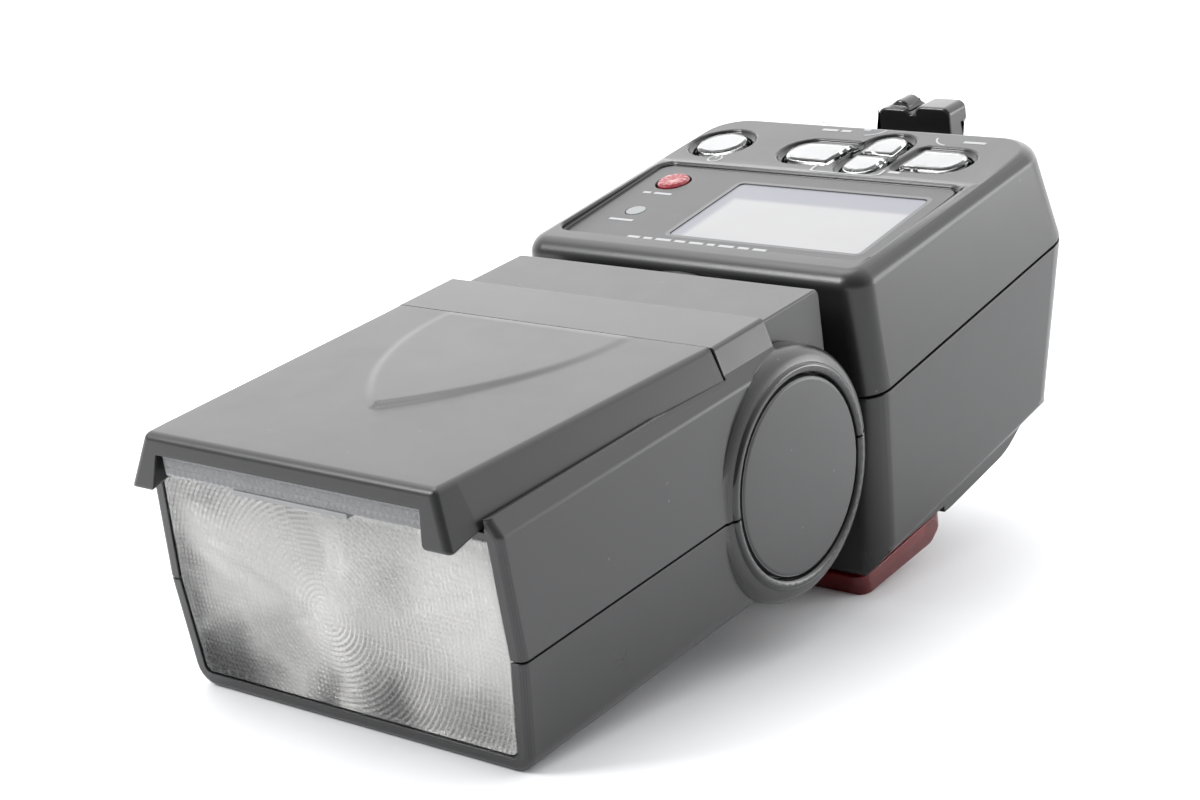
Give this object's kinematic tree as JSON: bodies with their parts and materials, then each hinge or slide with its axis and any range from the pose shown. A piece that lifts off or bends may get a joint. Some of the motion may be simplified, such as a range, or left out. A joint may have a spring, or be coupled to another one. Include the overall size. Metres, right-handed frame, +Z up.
{
  "type": "speedlight flash",
  "caption": "Shoe-mount camera flash with a tilting, swivelling zoom head, a display and keys, and a locking shoe foot.",
  "frame": {"origin": "middle of the footprint, on the surface that the flash lies on", "axes": "+Z up; +Y along the flash towards its shoe foot; +X across it, away from the battery door; the flash leans 9.5 degrees, foot end up"},
  "size_m": [0.0706, 0.1678, 0.0705],
  "materials": {
    "shell_plastic": "satin, fine moulded texture",
    "trim_plastic": "satin",
    "panel_plastic": "printed satin",
    "clear_plastic": "clear",
    "key_plastic": "clear over white",
    "red_key_plastic": "translucent",
    "lamp_plastic": "translucent",
    "red_window_plastic": "transparent deep red",
    "lcd_glass": "pale silver",
    "mat_rubber": "matt silicone",
    "board_laminate": "solder mask",
    "capacitor_can": "sleeved",
    "winding_copper": "wound and varnished",
    "steel": "plated",
    "contact_brass": "polished",
    "reflector_metal": "bright anodised",
    "tube_glass": "clear"
  },
  "bodies": {
    "control_unit": {"rear_cover": "shell_plastic", "front_shell": "shell_plastic", "display_panel": "panel_plastic", "display_window": "clear_plastic", "lcd_module": "lcd_glass", "key_mat": "mat_rubber", "main_board": "board_laminate", "ready_lamp": "lamp_plastic", "assist_window": "red_window_plastic", "assist_lamp": "trim_plastic", "lamp_board": "board_laminate", "battery_chamber": "trim_plastic", "cell_contacts_near": "steel", "cell_contacts_far": "steel", "main_capacitor": "capacitor_can", "transformer": "winding_copper", "power_board": "board_laminate", "swivel_ring": "trim_plastic", "foot_base": "trim_plastic", "foot_plate": "steel", "shoe_contact_1": "contact_brass", "shoe_contact_2": "contact_brass", "shoe_contact_3": "contact_brass", "shoe_contact_4": "contact_brass", "foot_screw_1": "steel", "foot_screw_2": "steel", "foot_screw_3": "steel", "foot_screw_4": "steel"},
    "lock_lever": {"lock_lever": "trim_plastic"},
    "lock_pin": {"lock_pin": "steel"},
    "door_hinge_strip": {"door_hinge_strip": "steel"},
    "battery_door": {"battery_door": "shell_plastic"},
    "neck": {"neck_block": "shell_plastic", "swivel_plate": "steel", "tilt_shaft": "steel"},
    "head": {"head_top_shell": "shell_plastic", "head_bottom_shell": "shell_plastic", "hood_panel": "shell_plastic", "fresnel_lens": "clear_plastic", "pivot_cap_right": "shell_plastic", "pivot_cap_left": "shell_plastic", "guide_rod_1": "steel", "guide_rod_2": "steel", "zoom_motor": "steel", "trigger_coil": "winding_copper"},
    "wide_panel": {"wide_panel": "clear_plastic"},
    "release_button": {"release_button": "trim_plastic"},
    "zoom_carriage": {"zoom_carriage": "trim_plastic", "reflector": "reflector_metal", "flash_tube": "tube_glass"},
    "lead_screw": {"lead_screw": "steel"},
    "power_button": {"power_button": "key_plastic"},
    "mode_button": {"mode_button": "key_plastic"},
    "plus_button": {"plus_button": "key_plastic"},
    "minus_button": {"minus_button": "key_plastic"},
    "zoom_button": {"zoom_button": "key_plastic"},
    "test_button": {"test_button": "red_key_plastic"}
  },
  "joints": [
    {"name": "swivel", "type": "hinge", "parent": "control_unit", "child": "neck", "pos_m": [0.0007, 0.00819, 0.03042], "axis": [0, 0.9864, 0.1643], "range_deg": [-180, 90]},
    {"name": "tilt", "type": "hinge", "parent": "neck", "child": "head", "pos_m": [0.0007, -0.01292, 0.02691], "axis": [1, 0, 0], "range_deg": [0, 90]},
    {"name": "release_press", "type": "slide", "parent": "head", "child": "release_button", "axis": [1, 0, 0], "range_m": [0, 0.0018], "stiffness_N_per_m": 800},
    {"name": "wide_panel_slide", "type": "slide", "parent": "head", "child": "wide_panel", "axis": [0, -0.9864, -0.1643], "range_m": [0, 0.04]},
    {"name": "zoom_travel", "type": "slide", "parent": "head", "child": "zoom_carriage", "axis": [0, 0.9864, 0.1643], "range_m": [0, 0.016]},
    {"name": "lead_screw_spin", "type": "hinge", "parent": "head", "child": "lead_screw", "pos_m": [0.028, -0.04113, 0.02221], "axis": [0, 0.9864, 0.1643], "range_deg": [-720.5, 0.5]},
    {"name": "lock_lever_turn", "type": "hinge", "parent": "control_unit", "child": "lock_lever", "pos_m": [0.0007, 0.07763, 0.05172], "axis": [0, 0.9864, 0.1643], "range_deg": [-50, 0]},
    {"name": "lock_pin_rise", "type": "slide", "parent": "control_unit", "child": "lock_pin", "axis": [0, 0.9864, 0.1643], "range_m": [0, 0.0018]},
    {"name": "door_slide", "type": "slide", "parent": "control_unit", "child": "door_hinge_strip", "axis": [0, 0.9864, 0.1643], "range_m": [0, 0.0035]},
    {"name": "door_swing", "type": "hinge", "parent": "door_hinge_strip", "child": "battery_door", "pos_m": [-0.0317, 0.04032, 0.02006], "axis": [0, 0.9864, 0.1643], "range_deg": [-100, 0]},
    {"name": "power_press", "type": "slide", "parent": "control_unit", "child": "power_button", "axis": [0, 0.2528, -0.9675], "range_m": [0, 0.0008], "stiffness_N_per_m": 600},
    {"name": "mode_press", "type": "slide", "parent": "control_unit", "child": "mode_button", "axis": [0, 0.2528, -0.9675], "range_m": [0, 0.0008], "stiffness_N_per_m": 600},
    {"name": "plus_press", "type": "slide", "parent": "control_unit", "child": "plus_button", "axis": [0, 0.2528, -0.9675], "range_m": [0, 0.0008], "stiffness_N_per_m": 600},
    {"name": "minus_press", "type": "slide", "parent": "control_unit", "child": "minus_button", "axis": [0, 0.2528, -0.9675], "range_m": [0, 0.0008], "stiffness_N_per_m": 600},
    {"name": "zoom_press", "type": "slide", "parent": "control_unit", "child": "zoom_button", "axis": [0, 0.2528, -0.9675], "range_m": [0, 0.0008], "stiffness_N_per_m": 600},
    {"name": "test_press", "type": "slide", "parent": "control_unit", "child": "test_button", "axis": [0, 0.2528, -0.9675], "range_m": [0, 0.0008], "stiffness_N_per_m": 600}
  ],
  "couplings": [
    {"joint": "lead_screw_spin", "follows": "zoom_travel", "rad_per_m": -785.4},
    {"joint": "lock_pin_rise", "follows": "lock_lever_turn", "m_per_rad": -0.0020625}
  ]
}
